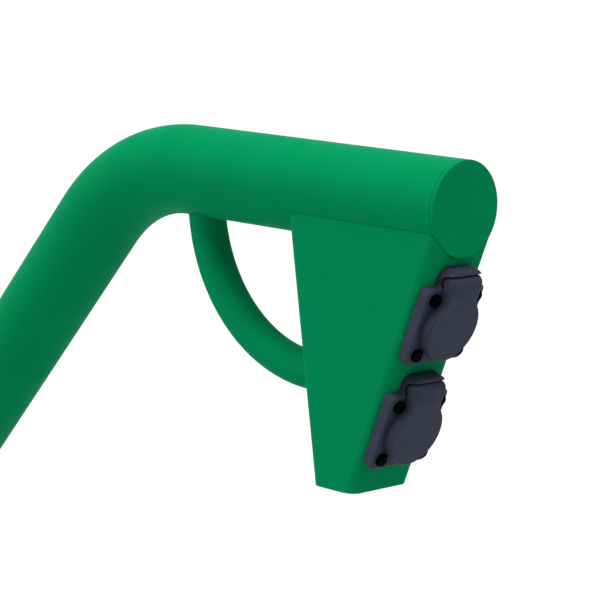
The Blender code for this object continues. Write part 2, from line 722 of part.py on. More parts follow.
def make_lid(name, closed):
    """A hollow moulding. The barrel's ends are knuckles on the pin, with room for the lug and the coils between."""
    shell = round_top(slab(lid_outline(), LID_BASE, LID_TOP), LID_EDGE, EDGE_STEPS, end=HINGE_REACH)
    lid = add_piece(f"{name}_lid", finished(shell), COVER_PLASTIC, closed)

    def tool(label, data, location=(0, 0, 0), rotation=(0, 0, 0)):
        return add_tool(f"{name}_lid_{label}", data, closed, location, rotation)

    barrel = cylinder(BARREL_RADIUS, -HOOD_SIDE, HOOD_SIDE, ROUND_SIDES, edge=LID_EDGE)
    join(lid, tool("barrel", barrel, HINGE_LINE, ALONG_X))

    below = -OVERRUN
    hood_end = HINGE_REACH - BARREL_RADIUS
    hood_side = HOOD_SIDE - LID_WALL
    disc_space = cylinder(LID_BORE, below, LID_CEILING, ROUND_SIDES)
    hood_space = block((-hood_side, 0, below), (hood_side, hood_end, LID_CEILING))
    coil_space = block((-KNUCKLE_START, hood_end - LID_WALL, below), (KNUCKLE_START, HINGE_REACH, LID_CEILING))
    barrel_space = cylinder(BARREL_RADIUS - LID_ROOF, -KNUCKLE_START, KNUCKLE_START, ROUND_SIDES)
    pin_bore = cylinder(PIN_BORE, LID_WALL - HOOD_SIDE, HOOD_SIDE + OVERRUN, SMALL_SIDES)
    lug_slot = barrel_slot(LUG_WIDTH + 2 * LUG_CLEARANCE, LUG_SLOT_ANGLE)
    leg_slot = barrel_slot(2 * KNUCKLE_START, LEG_SLOT_ANGLE)
    cut(
        lid,
        tool("disc_space", disc_space),
        tool("hood_space", hood_space),
        tool("coil_space", coil_space),
        tool("barrel_space", barrel_space, HINGE_LINE, ALONG_X),
        tool("pin_bore", pin_bore, HINGE_LINE, ALONG_X),
        tool("lug_slot", lug_slot, HINGE_LINE, ACROSS_X),
        tool("leg_slot", leg_slot, HINGE_LINE, ACROSS_X),
    )


def make_seal(name, closed):
    """A ring in the lid that rests on the collar's rim."""
    outer = LID_BORE - GAP
    inner = outer - SEAL_WIDTH
    top = LID_CEILING - GAP
    base = COLLAR_TOP + GAP
    points = [(inner, top), (outer, top), (outer, base), (inner, base)]
    turn(add_piece(f"{name}_lid_seal", profile(points), RUBBER, closed), ROUND_SIDES)


def make_socket(name, drop, shell):
    down = Vector((-math.sin(FRONT_LEAN), 0, -math.cos(FRONT_LEAN)))
    outward = Vector((math.cos(FRONT_LEAN), 0, -math.sin(FRONT_LEAN)))
    slope = Matrix(((0, 1, 0), -down, outward)).transposed().to_euler()
    frame = new_empty(f"{name}_socket", HEAD, Vector((FRONT_OFFSET, 0, 0)) + down * drop, slope)
    screw_holes = make_screws(name, frame)
    mouth = cylinder(CUP_RADIUS + GAP, -SHEET - OVERRUN, OVERRUN, ROUND_SIDES)
    holes = [add_tool(f"{name}_mouth", mouth, frame), *screw_holes]
    cut(shell, *holes)
    make_gasket(name, frame, holes)
    make_housing(name, frame, screw_holes)
    make_carrier(name, frame)
    make_contacts(name, frame)
    make_earth_strip(name, frame)
    make_pin(name, frame)
    make_spring(name, frame)
    hinge = new_empty(f"{name}_hinge", frame, HINGE_LINE)
    closed = new_empty(f"{name}_lid_frame", hinge, -Vector(HINGE_LINE))
    make_lid(name, closed)
    make_seal(name, closed)


for obj in list(bpy.data.objects):
    bpy.data.objects.remove(obj)
PARTS = new_collection("charging_arm")
TOOLS = new_collection("cutters")
HEAD = new_empty("head", None, (CAP_X, 0, AXIS_Z))

saddle_form = cylinder(TUBE_RADIUS + GAP, -LOOP_REACH - 2 * LOOP_RADIUS, FRONT_OFFSET + OVERRUN, LARGE_SIDES)
tube_saddle = add_tool("tube_saddle", saddle_form, HEAD, rotation=ALONG_X)
make_arm()
make_cap()
make_grommet()
make_loop(tube_saddle)
socket_box = make_box(tube_saddle)
make_socket("upper", UPPER_SOCKET_DROP, socket_box)
make_socket("lower", UPPER_SOCKET_DROP + SOCKET_PITCH, socket_box)
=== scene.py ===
import math

import bpy
from mathutils import Matrix, Vector


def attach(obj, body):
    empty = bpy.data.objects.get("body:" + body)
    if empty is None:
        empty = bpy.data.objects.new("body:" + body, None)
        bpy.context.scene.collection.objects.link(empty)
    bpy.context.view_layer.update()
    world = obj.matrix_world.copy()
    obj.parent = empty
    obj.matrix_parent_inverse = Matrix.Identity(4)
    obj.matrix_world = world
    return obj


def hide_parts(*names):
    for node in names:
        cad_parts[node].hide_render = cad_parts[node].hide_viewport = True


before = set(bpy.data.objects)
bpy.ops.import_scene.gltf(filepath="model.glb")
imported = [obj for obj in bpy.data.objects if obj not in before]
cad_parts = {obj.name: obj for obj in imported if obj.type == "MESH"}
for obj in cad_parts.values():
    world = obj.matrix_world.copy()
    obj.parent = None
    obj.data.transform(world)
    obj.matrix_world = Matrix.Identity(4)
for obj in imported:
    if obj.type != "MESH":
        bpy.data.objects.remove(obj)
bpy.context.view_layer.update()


# ---- Main tube ----------------------------------------------------------------------------------------------------
# A 60.3 mm steel tube with a 2.9 mm wall, cold bent once and cut square at both ends. It is powder coated green with
# the rest of the steelwork once everything is welded. The lower end stays open for the rest of the stand.

tube_radius = 0.03015
tube_wall = 0.0029
leg_length = 0.330
bend_radius = 0.125
bend_angle = math.radians(50)
arm_length = 0.2357
bend_start = (leg_length * math.cos(bend_angle), leg_length * math.sin(bend_angle))
bend_x = bend_start[0] + bend_radius * math.sin(bend_angle)
bend_z = bend_start[1] - bend_radius * math.cos(bend_angle)
arm_height = bend_z + bend_radius
arm_end = bend_x + arm_length
wiring_hole_x = arm_end - 0.0587
seat_gap = 0.0003


def take(piece):
    """Selects one piece and nothing else."""
    bpy.ops.object.select_all(action="DESELECT")
    piece.select_set(True)
    bpy.context.view_layer.objects.active = piece
    return piece


def named(name):
    """Names the piece that was just added."""
    piece = bpy.context.object
    piece.name = name
    piece.data.name = name
    return take(piece)


def shape(piece, kind, wanted):
    """Opens a piece for shaping with the points, edges or faces selected that the test wants."""
    if piece.mode == "EDIT":
        bpy.ops.object.mode_set(mode="OBJECT")
    take(piece)
    mesh = piece.data
    for part in (mesh.vertices, mesh.edges, mesh.polygons):
        part.foreach_set("select", [False] * len(part))
    place = [vert.co.copy() for vert in mesh.vertices]
    if kind == "VERT":
        for vert in mesh.vertices:
            vert.select = bool(wanted(vert.co))
    elif kind == "EDGE":
        for edge in mesh.edges:
            edge.select = bool(wanted(place[edge.vertices[0]], place[edge.vertices[1]]))
    else:
        for face in mesh.polygons:
            face.select = bool(wanted(face.center, face.normal))
    bpy.context.tool_settings.mesh_select_mode = (kind == "VERT", kind == "EDGE", kind == "FACE")
    bpy.ops.object.mode_set(mode="EDIT")


def shaped(piece):
    bpy.ops.object.mode_set(mode="OBJECT")
    return take(piece)


def everything(*place):
    return True


def pull(x, y, z):
    """Extrudes what is selected and moves it."""
    bpy.ops.mesh.extrude_context_move(TRANSFORM_OT_translate={"value": (x, y, z)})


def tidy_skin(piece):
    """Closes doubled points and turns the faces outwards."""
    shape(piece, "VERT", everything)
    bpy.ops.mesh.remove_doubles(threshold=0.000005)
    bpy.ops.mesh.normals_make_consistent(inside=False)
    shaped(piece)


def set_place(piece):
    """Fixes a piece's place and turn in its mesh."""
    take(piece)
    bpy.ops.object.transform_apply(location=True, rotation=True, scale=True)


def finish_with(piece, kind, **settings):
    """Puts one finishing step on a piece."""
    take(piece)
    step = piece.modifiers.new(kind.lower(), kind)
    for label, value in settings.items():
        setattr(step, label, value)
    bpy.ops.object.modifier_apply(modifier=step.name)


def give_wall(piece, thickness):
    finish_with(piece, "SOLIDIFY", thickness=thickness, offset=-1, use_even_offset=True)


def cut_with(piece, *cutters):
    for cutter in cutters:
        finish_with(piece, "BOOLEAN", operation="DIFFERENCE", object=cutter, solver="EXACT")
        bpy.data.objects.remove(cutter)


def join_with(piece, *additions):
    for addition in additions:
        finish_with(piece, "BOOLEAN", operation="UNION", object=addition, solver="EXACT")
        bpy.data.objects.remove(addition)


def smooth(piece, angle=30):
    """Round surfaces smooth, flat ones flat, with the clear edges kept."""
    take(piece)
    bpy.ops.object.shade_smooth_by_angle(angle=math.radians(angle))
    finish_with(piece, "WEIGHTED_NORMAL", keep_sharp=True, weight=80)


def bar(name, radius, depth, place, rotation, sides=64):
    """A plain round bar, for shaping or for cutting with."""
    bpy.ops.object.select_all(action="DESELECT")
    bpy.ops.mesh.primitive_cylinder_add(vertices=sides, radius=radius, depth=depth, location=place, rotation=rotation)
    piece = named(name)
    set_place(piece)
    return piece


def brick(name, low, high):
    """A plain block between two corners."""
    bpy.ops.object.select_all(action="DESELECT")
    middle = [(a + b) / 2 for a, b in zip(low, high)]
    size = [b - a for a, b in zip(low, high)]
    bpy.ops.mesh.primitive_cube_add(size=1, location=middle, scale=size)
    piece = named(name)
    set_place(piece)
    return piece


along_x = (0, math.pi / 2, 0)

bpy.ops.object.select_all(action="DESELECT")
bpy.ops.mesh.primitive_circle_add(vertices=96, radius=tube_radius, rotation=(0, math.pi / 2 - bend_angle, 0))
main_tube = named("main_tube")
set_place(main_tube)
shape(main_tube, "VERT", everything)
pull(bend_start[0], 0, bend_start[1])
bpy.ops.mesh.spin(steps=48, angle=-bend_angle, center=(bend_x, 0, bend_z), axis=(0, 1, 0))
pull(arm_length, 0, 0)
tidy_skin(main_tube)
give_wall(main_tube, tube_wall)
cut_with(main_tube, bar("wiring_drill", 0.008, 0.06, (wiring_hole_x, 0, arm_height - 0.04), (0, 0, 0), 48))
shape(
    main_tube,
    "EDGE",
    lambda a, b: max(a.length, b.length) < 1.01 * tube_radius and abs(a.length - b.length) < 0.0001,
)
bpy.ops.mesh.bevel(offset=0.0003, segments=2, affect="EDGES")
shaped(main_tube)
smooth(main_tube)


def add_node(tree, kind, feeds=None, **settings):
    """Adds a shader node, sets it, and feeds its sockets with values or with other nodes' outputs."""
    node = tree.nodes.new("ShaderNode" + kind)
    for label, value in settings.items():
        setattr(node, label, value)
    for label, feed in (feeds or {}).items():
        if isinstance(feed, bpy.types.NodeSocket):
            tree.links.new(feed, node.inputs[label])
        else:
            node.inputs[label].default_value = feed
    return node


def new_effect(name, inputs, outputs):
    """An effect that several materials share: a node group with named inputs and outputs."""
    effect = bpy.data.node_groups.new(name, "ShaderNodeTree")
    for label, value in inputs.items():
        socket = effect.interface.new_socket(label, in_out="INPUT", socket_type="NodeSocketFloat")
        socket.default_value = value
    for label in outputs:
        effect.interface.new_socket(label, in_out="OUTPUT", socket_type="NodeSocketFloat")
    return effect, effect.nodes.new("NodeGroupInput").outputs, effect.nodes.new("NodeGroupOutput").inputs


def place_effect(tree, effect, **values):
    node = tree.nodes.new("ShaderNodeGroup")
    node.node_tree = effect
    for label, value in values.items():
        node.inputs[label].default_value = value
    return node.outputs


def noise(tree, scale, detail, stretch=(1, 1, 1)):
    place = add_node(tree, "TexCoord").outputs["Object"]
    if stretch != (1, 1, 1):
        place = add_node(tree, "Mapping", {"Vector": place, "Scale": stretch}).outputs["Vector"]
    feeds = {"Vector": place, "Scale": scale, "Detail": detail, "Roughness": 0.55}
    return add_node(tree, "TexNoise", feeds).outputs["Fac"]


def spread(tree, value, low, high, to_low, to_high):
    feeds = {"Value": value, "From Min": low, "From Max": high, "To Min": to_low, "To Max": to_high}
    return add_node(tree, "MapRange", feeds).outputs["Result"]


def times(tree, first, second):
    return add_node(tree, "Math", {0: first, 1: second}, operation="MULTIPLY").outputs[0]


def blend_colour(tree, amount, first, second):
    mix = add_node(tree, "Mix", {0: amount}, data_type="RGBA")
    for index, feed in ((6, first), (7, second)):
        if isinstance(feed, bpy.types.NodeSocket):
            tree.links.new(feed, mix.inputs[index])
        else:
            mix.inputs[index].default_value = (*feed, 1)
    return mix.outputs[2]


# Surface grain: a fine height over the surface, and broad soft patches of tone.
grain_effect, given, made = new_effect("surface_grain", {"Scale": 1000.0, "Patches": 40.0}, ["Height", "Tone"])
grain_effect.links.new(noise(grain_effect, given["Scale"], 3), made["Height"])
grain_effect.links.new(spread(grain_effect, noise(grain_effect, given["Patches"], 2), 0.3, 0.7, 0, 1), made["Tone"])

# Rubbed edges and painted edge highlight: a lighter edge colour where the surface turns sharply, broken up by a noise.
# It stands partly for wear and partly for light catching the edges.
edge_wear_and_highlight_effect, given, made = new_effect("rubbed_and_highlit_edges", {"Reach": 0.001, "Amount": 1.0}, ["Mask"])
rounded = add_node(edge_wear_and_highlight_effect, "Bevel", {"Radius": given["Reach"]}, samples=4).outputs["Normal"]
true = add_node(edge_wear_and_highlight_effect, "NewGeometry").outputs["Normal"]
facing = add_node(edge_wear_and_highlight_effect, "VectorMath", {0: rounded, 1: true}, operation="DOT_PRODUCT").outputs["Value"]
turned = spread(edge_wear_and_highlight_effect, facing, 0.97, 0.8, 0, 1)
patchy = spread(edge_wear_and_highlight_effect, noise(edge_wear_and_highlight_effect, 260, 3), 0.35, 0.65, 0.2, 1)
edge_wear_and_highlight_effect.links.new(times(edge_wear_and_highlight_effect, times(edge_wear_and_highlight_effect, turned, patchy), given["Amount"]), made["Mask"])

# Settled dust: on what faces up, in soft patches.
dust_effect, given, made = new_effect("settled_dust", {"Amount": 1.0}, ["Mask"])
normal = add_node(dust_effect, "NewGeometry").outputs["Normal"]
upward = add_node(dust_effect, "SeparateXYZ", {0: normal}).outputs["Z"]
lying = spread(dust_effect, upward, 0.2, 1.0, 0, 1)
patchy = spread(dust_effect, noise(dust_effect, 90, 4), 0.4, 0.7, 0.1, 1)
dust_effect.links.new(times(dust_effect, times(dust_effect, lying, patchy), given["Amount"]), made["Mask"])


def new_finish(name, colour, second, worn_and_highlight, rough, grain, depth, wear_and_highlight, dust, metallic=0.0, shine=0.5, stretch=None):
    """A surface with grain, patches of a second tone, lighter edges that are partly wear and partly a painted
    highlight, and a little dust.
    """
    material = bpy.data.materials.new(name)
    material.use_nodes = True
    tree = material.node_tree
    surface = tree.nodes["Principled BSDF"]
    grain_out = place_effect(tree, grain_effect, Scale=grain, Patches=grain / 30)
    height = grain_out["Height"] if stretch is None else noise(tree, grain, 2, stretch)
    rubbed_and_highlit = place_effect(tree, edge_wear_and_highlight_effect, Amount=wear_and_highlight)["Mask"]
    dusty = place_effect(tree, dust_effect, Amount=dust)["Mask"]
    tint = blend_colour(tree, grain_out["Tone"], colour, second)
    # Painted edge highlight: the lighter edge colour is partly wear and partly light catching the edges.
    tint = blend_colour(tree, rubbed_and_highlit, tint, worn_and_highlight)
    tint = blend_colour(tree, dusty, tint, (0.20, 0.19, 0.17))
    tree.links.new(tint, surface.inputs["Base Color"])
    tree.links.new(spread(tree, grain_out["Tone"], 0, 1, rough, rough + 0.08), surface.inputs["Roughness"])
    bump = add_node(tree, "Bump", {"Height": height, "Strength": 0.7, "Distance": depth}).outputs["Normal"]
    tree.links.new(bump, surface.inputs["Normal"])
    surface.inputs["Metallic"].default_value = metallic
    surface.inputs["Specular IOR Level"].default_value = shine
    return material


def coat(piece, material):
    piece.data.materials.clear()
    piece.data.materials.append(material)


green_coat = new_finish(
    "green_powder_coat",
    colour=(0.0, 0.280, 0.103),
    second=(0.0, 0.268, 0.098),
    # Lighter edge colour: partly wear, partly a painted edge highlight.
    worn_and_highlight=(0.0, 0.305, 0.114),
    rough=0.50,
    grain=1100,
    depth=0.00002,
    wear_and_highlight=0.5,
    dust=0.003,
    shine=0.01,
)
coat(main_tube, green_coat)
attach(main_tube, "arm")
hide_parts("arm_tube")


# ---- End cap ------------------------------------------------------------------------------------------------------
# A turned steel disc as wide as the tube, 3 mm thick, with its rim just broken. A hollow spigot behind it fits inside
# the tube, and the cap is coated in the same green. Its face is plain.

cap_thickness = 0.003
cap_face = arm_end + seat_gap + cap_thickness
spigot_length = 0.012
spigot_wall = 0.0025

cap = bar("cap", tube_radius, cap_thickness, (cap_face - cap_thickness / 2, 0, arm_height), along_x, 96)
shape(cap, "EDGE", lambda a, b: min(a.x, b.x) > cap_face - 0.0001)
bpy.ops.mesh.bevel(offset=0.0007, segments=4, affect="EDGES")
shape(cap, "FACE", lambda centre, normal: normal.x < -0.9)
bpy.ops.mesh.inset(thickness=tube_wall + seat_gap)
pull(-spigot_length, 0, 0)
bpy.ops.mesh.inset(thickness=spigot_wall)
pull(spigot_length, 0, 0)
shaped(cap)
smooth(cap)
coat(cap, green_coat)
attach(cap, "arm")
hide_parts("end_cap")


# ---- Lock loop ----------------------------------------------------------------------------------------------------
# A 25 mm tube with a 2 mm wall, bent through a quarter turn. Its upper end is coped to the underside of the arm and
# its lower end is cut to the lean of the box's back, and both are welded on before coating.

loop_radius = 0.0125
loop_wall = 0.002
loop_bend = 0.106
loop_x = cap_face - 0.227
loop_start = arm_height - 0.013
rear_lean = math.radians(10.4)
rear_top = cap_face - 0.130

bpy.ops.object.select_all(action="DESELECT")
bpy.ops.mesh.primitive_circle_add(vertices=64, radius=loop_radius, location=(loop_x, 0, arm_height))
lock_loop = named("loop_tube")
set_place(lock_loop)
shape(lock_loop, "VERT", everything)
pull(0, 0, loop_start - arm_height)
bpy.ops.mesh.spin(steps=48, angle=math.pi / 2, center=(loop_x + loop_bend, 0, loop_start), axis=(0, 1, 0))
pull(cap_face - 0.06 - loop_x - loop_bend, 0, 0)
tidy_skin(lock_loop)
give_wall(lock_loop, loop_wall)
arm_cope = bar("arm_cope", tube_radius + 0.0001, 0.3, (loop_x, 0, arm_height), along_x, 96)
box_cope = brick("box_cope", (0, -0.03, -0.2), (0.2, 0.03, 0.2))
box_cope.matrix_world = Matrix.Translation((rear_top - 0.0002, 0, arm_height)) @ Matrix.Rotation(-rear_lean, 4, "Y")
set_place(box_cope)
cut_with(lock_loop, arm_cope, box_cope)
smooth(lock_loop)
coat(lock_loop, green_coat)
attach(lock_loop, "arm")
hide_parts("lock_loop")


# ---- Socket box ---------------------------------------------------------------------------------------------------
# A tapering box folded from 3 mm sheet with well-rounded upright edges, open at the top where it is coped to the arm.
# Its front leans back by 20 degrees and carries the two sockets, and a loose plate closes it underneath.

sheet = 0.003
box_width = 0.054
box_corner = 0.008
box_height = 0.1855
front_lean = math.radians(20)
front_top = cap_face + 0.0079
box_bottom = arm_height - box_height
upper_drop = 0.0754
lower_drop = 0.1499
screw_hole_radius = 0.0022
screw_spots = [(x, y) for y in (0.019, -0.019) for x in (-0.019, 0.019)]


def front_place(drop):
    """Where a piece made flat on the bench goes on the sloping front, that far down it."""
    s, c = math.sin(front_lean), math.cos(front_lean)
    x, z = front_top - drop * s, arm_height - drop * c
    return Matrix(((0, s, c, x), (1, 0, 0, 0), (0, c, -s, z), (0, 0, 0, 1)))


def lay_on_front(piece, drop):
    piece.matrix_world = front_place(drop)
    set_place(piece)


def twin(piece, name):
    """A second piece just like the first, with its own mesh."""
    take(piece)
    bpy.ops.object.duplicate(linked=False)
    return named(name)


box = brick("folded_box", (rear_top, -box_width / 2, box_bottom), (front_top, box_width / 2, arm_height))
shape(box, "VERT", lambda at: at.x > cap_face - 0.05 and at.z < arm_height - 0.1)
bpy.ops.transform.translate(value=(-box_height * math.tan(front_lean), 0, 0))
shape(box, "VERT", lambda at: at.x < cap_face - 0.1 and at.z < arm_height - 0.1)
bpy.ops.transform.translate(value=(box_height * math.tan(rear_lean), 0, 0))
shape(box, "FACE", lambda centre, normal: abs(normal.z) > 0.95)
bpy.ops.mesh.delete(type="ONLY_FACE")
shape(box, "EDGE", lambda a, b: abs(a.z - b.z) > 0.1)
bpy.ops.mesh.bevel(offset=box_corner, segments=14, affect="EDGES")
shaped(box)
give_wall(box, sheet)
seat_on_arm = bar("seat_on_arm", tube_radius + seat_gap, 0.4, (cap_face - 0.06, 0, arm_height), along_x, 96)
cut_with(box, seat_on_arm)
for drop in (upper_drop, lower_drop):
    mouth = bar("mouth", 0.0223, 0.03, (0, 0, 0), (0, 0, 0), 64)
    lay_on_front(mouth, drop)
    cut_with(box, mouth)
    for x, y in screw_spots:
        drill = bar("drill", screw_hole_radius, 0.03, (x, y, 0), (0, 0, 0), 24)
        lay_on_front(drill, drop)
        cut_with(box, drill)
smooth(box)
coat(box, green_coat)
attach(box, "arm")
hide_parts("socket_box")

coat(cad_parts["box_floor"], green_coat)


# ---- Wiring grommet, gaskets and lid seals ------------------------------------------------------------------------
# Black moulded rubber: a grommet in the wiring hole under the arm, a sheet gasket behind each flange, and a ring in
# each lid that closes on the collar of the recess.

black_rubber = new_finish(
    "black_rubber",
    colour=(0.012, 0.012, 0.013),
    second=(0.016, 0.016, 0.017),
    # Lighter edge colour: partly wear, partly a painted edge highlight.
    worn_and_highlight=(0.035, 0.035, 0.035),
    rough=0.72,
    grain=2200,
    depth=0.00003,
    wear_and_highlight=0.4,
    dust=0.05,
    shine=0.3,
)
for node in ("cable_grommet", "upper_gasket", "lower_gasket", "upper_lid_seal", "lower_lid_seal"):
    coat(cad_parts[node], black_rubber)


# ---- Socket housings ----------------------------------------------------------------------------------------------
# One dark blue-grey moulding for each socket: a square flange whose hinge tongue ends in a low brow, a collar round
# the plug recess with two guide ribs in it, and a cup that stands in the box. Its rim hides the gasket and laps a
# little round the box's rounded edges. Four screws hold it to the front.

flange_back = 0.0013
flange_top = 0.0060
flange_half = 0.026
flange_corner = 0.004
flange_edge = 0.0009
rim_width = 0.0004
rim_drop = 0.0011
rim_steps = ((0.0195, 0.0004), (0.0225, 0.0010))
tongue_half = 0.0156
tongue_end = 0.0384
tongue_corner = 0.0062
tongue_fillet = 0.0015
brow_start = 0.0280
brow_top = 0.0102
brow_edge = 0.0022
collar_top = 0.0084
collar_wall = 0.001
cup_top = 0.0033
recess_radius = 0.0195
recess_floor = -0.0093
cup_radius = 0.022
cup_back = -0.0299
cup_floor = -0.0279
cup_bore = 0.0142
hinge_y = 0.0302
hinge_z = 0.0083
barrel_radius = 0.0049
lug_radius = 0.0036
pin_bore_radius = 0.00155
running_gap = 0.0002
opening_angle = 110
spring_foot_x = 0.0073
neck_lean = 36
across = (0, math.pi / 2, 0)

bpy.ops.object.select_all(action="DESELECT")
bpy.ops.mesh.primitive_plane_add(size=2 * flange_half, location=(0, 0, flange_back))
housing = named("upper_socket_housing")
set_place(housing)
for x in (-tongue_half, tongue_half):
    shape(housing, "FACE", everything)
    bpy.ops.mesh.bisect(plane_co=(x, 0, 0), plane_no=(1, 0, 0))
shape(housing, "EDGE", lambda a, b: min(a.y, b.y) > flange_half - 0.0001 and abs(a.x + b.x) < 0.001)
pull(0, tongue_end - flange_half, 0)
shape(housing, "FACE", everything)
bpy.ops.mesh.dissolve_limited(angle_limit=0.01)
shape(housing, "FACE", everything)
pull(0, 0, flange_top - flange_back)
tidy_skin(housing)
shape(housing, "FACE", everything)
bpy.ops.mesh.bisect(plane_co=(0, brow_start, 0), plane_no=(0, 1, 0))
shape(housing, "FACE", lambda centre, normal: normal.z > 0.9 and centre.y > brow_start)
pull(0, 0, brow_top - flange_top)
tidy_skin(housing)


def upright_edge(x, y):
    """Tests for an upright edge at one corner, on either side."""
    return lambda a, b: abs(a.z - b.z) > 0.001 and abs(abs(a.x) - x) < 0.0005 and abs(a.y - y) < 0.0005


for x, y, radius in (
    (flange_half, -flange_half, flange_corner),
    (flange_half, flange_half, flange_corner),
    (tongue_half, tongue_end, tongue_corner),
    (tongue_half, flange_half, tongue_fillet),
):
    shape(housing, "EDGE", upright_edge(x, y))
    bpy.ops.mesh.bevel(offset=radius, segments=10, affect="EDGES")
shape(
    housing,
    "EDGE",
    lambda a, b: min(a.z, b.z) > flange_top - 0.0001
    and max(a.z, b.z) < flange_top + 0.0001
    and max(a.y, b.y) < flange_half + tongue_fillet + 0.0001,
)
bpy.ops.mesh.bevel(offset=flange_edge, segments=4, affect="EDGES")
shape(housing, "EDGE", lambda a, b: min(a.z, b.z) > brow_top - 0.0001 and max(a.y, b.y) > brow_start + 0.0001)
bpy.ops.mesh.bevel(offset=brow_edge, segments=6, affect="EDGES")
shape(housing, "FACE", lambda centre, normal: normal.z < -0.9)
bpy.ops.mesh.inset(thickness=rim_width)
shape(
    housing,
    "FACE",
    lambda centre, normal: normal.z < -0.9
    and (abs(centre.x) > 0.012 or centre.y < -0.02 or centre.y > tongue_end - rim_width),
)
pull(0, 0, -rim_drop)
# The rim reaches further down the further out it is, because the box's edges fall away there.
for x, drop in rim_steps:
    shape(housing, "VERT", lambda at: at.z < flange_back - 0.001 and abs(at.x) > x)
    bpy.ops.transform.translate(value=(0, 0, -drop))
shaped(housing)

cup = bar("cup", cup_radius, cup_top - cup_back, (0, 0, (cup_top + cup_back) / 2), (0, 0, 0), 96)
shape(cup, "FACE", lambda centre, normal: normal.z > 0.9)
bpy.ops.mesh.inset(thickness=cup_radius - recess_radius - collar_wall)
pull(0, 0, collar_top - cup_top)
shape(cup, "EDGE", lambda a, b: min(a.z, b.z) > collar_top - 0.0001)
bpy.ops.mesh.bevel(offset=0.0003, segments=3, affect="EDGES")
shaped(cup)
join_with(housing, cup)
recess = bar("recess", recess_radius, 0.02 - cup_floor, (0, 0, (0.02 + cup_floor) / 2), (0, 0, 0), 96)
shape(recess, "FACE", lambda centre, normal: normal.z < -0.9)
bpy.ops.mesh.inset(thickness=recess_radius - cup_bore)
pull(0, 0, -0.01)
shaped(recess)


def turn_at_hinge(piece, angle):
    """Turns a piece made at the origin and sets it on the hinge line."""
    piece.matrix_world = Matrix.Translation((0, hinge_y, hinge_z)) @ Matrix.Rotation(math.radians(angle), 4, "X")
    set_place(piece)
    return piece


# Room for the lid: a trough that its barrel turns in, the face that the open lid lies against, and two pockets for the
# feet of the spring.
trough_radius = barrel_radius + running_gap
trough = bar("trough", trough_radius, 2 * tongue_half + 0.0002, (0, hinge_y, hinge_z), across, 64)
swing_room = turn_at_hinge(brick("swing_room", (-0.03, -0.02, 0), (0.03, trough_radius, 0.02)), 90 - opening_angle)
pockets = [
    brick("pocket", (x - 0.003, 0.0226, 0.0050), (x + 0.003, hinge_y, 0.0070)) for x in (-spring_foot_x, spring_foot_x)
]
cut_with(housing, recess, trough, swing_room, *pockets)
for x, y in screw_spots:
    cut_with(housing, bar("screw_hole", screw_hole_radius, 0.03, (x, y, 0), (0, 0, 0), 24))

# The lug in the middle of the hinge leans back on its neck, out of the way of the barrel.
lug = bar("lug", lug_radius, 0.008, (0, hinge_y, hinge_z), across, 48)
neck = turn_at_hinge(brick("neck", (-0.0039, -0.0062, -0.0014), (0.0039, -0.0030, 0.0014)), neck_lean)
join_with(lug, neck)
join_with(housing, lug)
cut_with(housing, bar("pin_drill", pin_bore_radius, 0.012, (0, hinge_y, hinge_z), across, 24))
for side in (-1, 1):
    near, far = side * (recess_radius - 0.0016), side * (recess_radius + 0.0005)
    foot, head = recess_floor + seat_gap, collar_top - 0.0017
    rib = brick("rib", (min(near, far), -0.0024, foot), (max(near, far), 0.0024, head))
    shape(rib, "EDGE", lambda a, b: abs(a.z - b.z) > 0.001 and abs(a.x) < recess_radius - 0.001)
    bpy.ops.mesh.bevel(offset=0.0004, segments=3, affect="EDGES")
    shaped(rib)
    join_with(housing, rib)
smooth(housing)

cover_plastic = new_finish(
    "blue_grey_plastic",
    colour=(0.0395, 0.0460, 0.0780),
    second=(0.0360, 0.0420, 0.0710),
    # Lighter edge colour: partly wear, partly a painted edge highlight.
    worn_and_highlight=(0.050, 0.057, 0.090),
    rough=0.48,
    grain=2600,
    depth=0.00002,
    wear_and_highlight=0.4,
    dust=0.01,
    shine=0.08,
)
coat(housing, cover_plastic)
lower_housing = twin(housing, "lower_socket_housing")
for piece, drop, node in (
    (housing, upper_drop, "upper_housing"),
    (lower_housing, lower_drop, "lower_housing"),
):
    lay_on_front(piece, drop)
    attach(piece, "arm")
    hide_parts(node)


# ---- Contact carriers ---------------------------------------------------------------------------------------------
# The floor of each recess, moulded in a harder mid-grey plastic, with two holes for the plug's pins and a slot on
# each side for the earth strip.

carrier_plastic = new_finish(
    "grey_carrier_plastic",
    colour=(0.080, 0.085, 0.090),
    second=(0.070, 0.075, 0.080),
    # Lighter edge colour: partly wear, partly a painted edge highlight.
    worn_and_highlight=(0.12, 0.125, 0.13),
    rough=0.42,
    grain=3000,
    depth=0.00001,
    wear_and_highlight=0.3,
    dust=0.03,
    shine=0.4,
)
for node in ("upper_insert", "lower_insert"):
    coat(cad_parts[node], carrier_plastic)


# ---- Contacts and earth strips ------------------------------------------------------------------------------------
# Bare brass: a turned sleeve with a terminal block for each pin, and a U of sprung strip with a bowed finger on each
# side of the recess. All slightly dulled.

dull_brass = new_finish(
    "dull_brass",
    colour=(0.62, 0.43, 0.16),
    second=(0.50, 0.34, 0.13),
    # Lighter edge colour: partly wear, partly a painted edge highlight.
    worn_and_highlight=(0.80, 0.60, 0.28),
    rough=0.26,
    grain=900,
    depth=0.00001,
    wear_and_highlight=0.8,
    dust=0.0,
    metallic=1.0,
    stretch=(1, 1, 12),
)
for name in ("contact_left", "contact_right", "earth_strip"):
    for side in ("upper", "lower"):
        coat(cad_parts[f"{side}_{name}"], dull_brass)


# ---- Hinge pins and lid springs -----------------------------------------------------------------------------------
# Bright steel: a plain 2.5 mm pin pushed through each barrel, and a spring of hard wire with a coil on each side of
# the lug and a bridge that presses on the lid.

